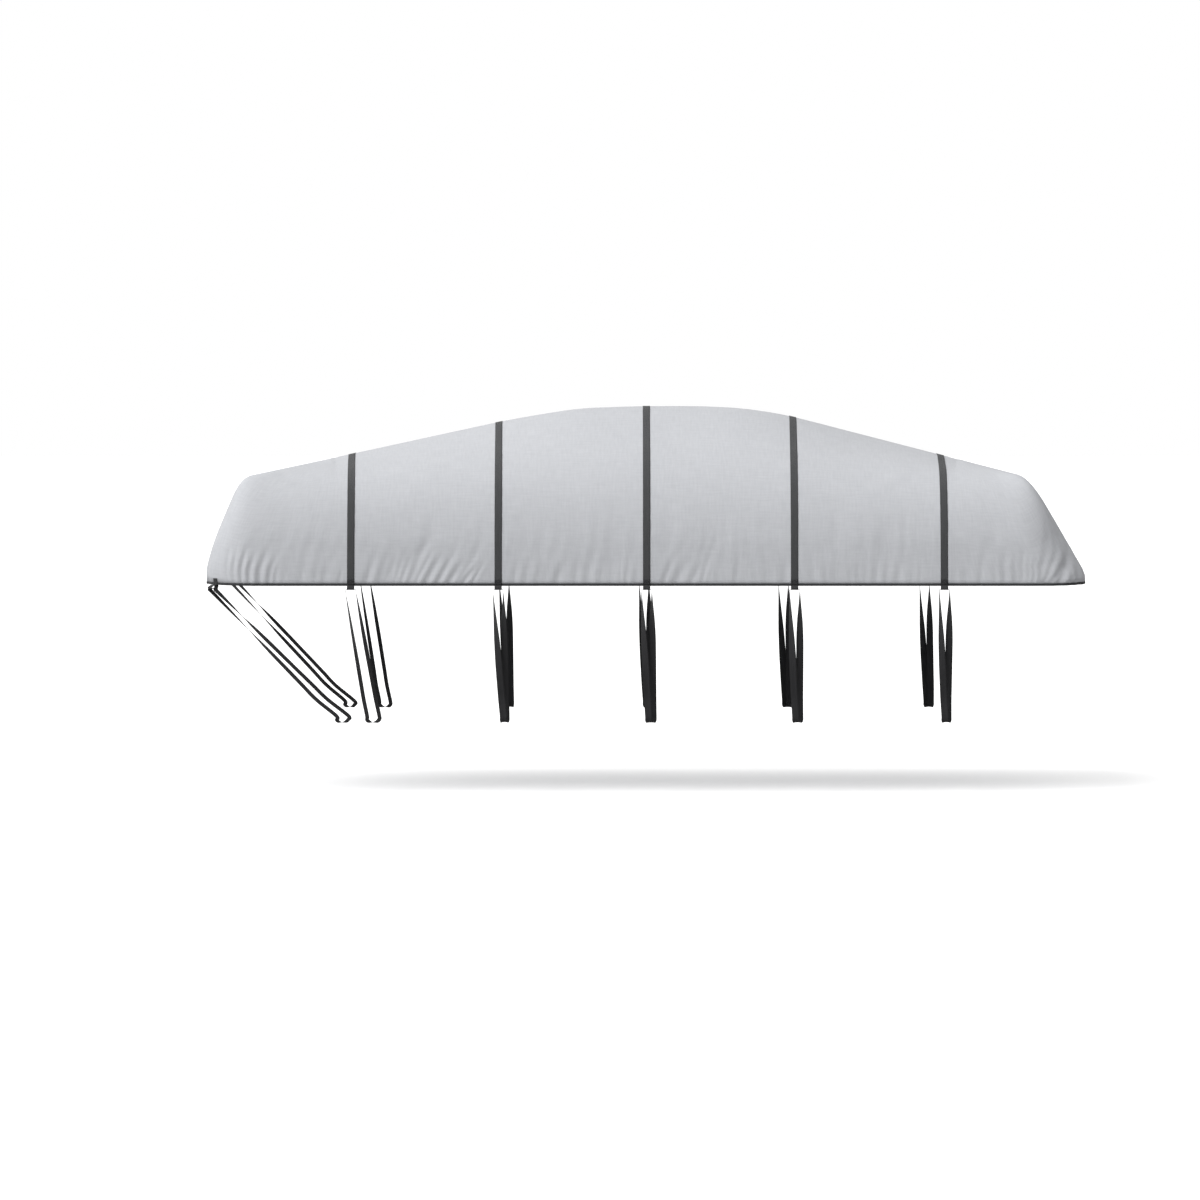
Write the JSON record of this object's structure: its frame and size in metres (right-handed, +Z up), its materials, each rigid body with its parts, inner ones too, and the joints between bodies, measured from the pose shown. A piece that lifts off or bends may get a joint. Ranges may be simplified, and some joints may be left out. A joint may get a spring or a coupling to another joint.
{
  "type": "boat cover",
  "caption": "Fitted cloth boat cover with a ridged top, steep ends and a gathered hem, held by webbing straps over it and tie-down loops that hang from the hem to hook round a rail below.",
  "frame": {"origin": "underside of the cloth below the top of the ridge, at the middle of the cover's length and beam, where the cover rests on what holds it up", "axes": "+X runs aft along the ridge towards the steeper stern end, +Y across to the far side, +Z up; the hem lies 1.227 m below the origin"},
  "size_m": [6.1112, 2.5418, 2.1821],
  "materials": {
    "cover_cloth": "matt woven polyester",
    "edge_binding": "matt woven tape",
    "strap_webbing": "woven webbing",
    "tie_webbing": "woven webbing"
  },
  "bodies": {
    "root": {"cover_cloth": "cover_cloth", "hem_binding": "edge_binding", "over_strap_1": "strap_webbing", "over_strap_2": "strap_webbing", "over_strap_3": "strap_webbing", "over_strap_4": "strap_webbing", "over_strap_5": "strap_webbing", "hem_loop_near_1": "tie_webbing", "hem_loop_near_2": "tie_webbing", "hem_loop_near_3": "tie_webbing", "hem_loop_near_4": "tie_webbing", "hem_loop_near_5": "tie_webbing", "hem_loop_near_bow": "tie_webbing", "hem_loop_far_1": "tie_webbing", "hem_loop_far_2": "tie_webbing", "hem_loop_far_3": "tie_webbing", "hem_loop_far_4": "tie_webbing", "hem_loop_far_5": "tie_webbing", "hem_loop_far_bow": "tie_webbing", "tie_near_1": "tie_webbing", "tie_near_2": "tie_webbing", "tie_near_3": "tie_webbing", "tie_near_4": "tie_webbing", "tie_near_5": "tie_webbing", "tie_near_bow": "tie_webbing", "tie_far_1": "tie_webbing", "tie_far_2": "tie_webbing", "tie_far_3": "tie_webbing", "tie_far_4": "tie_webbing", "tie_far_5": "tie_webbing", "tie_far_bow": "tie_webbing"}
  },
  "joints": []
}
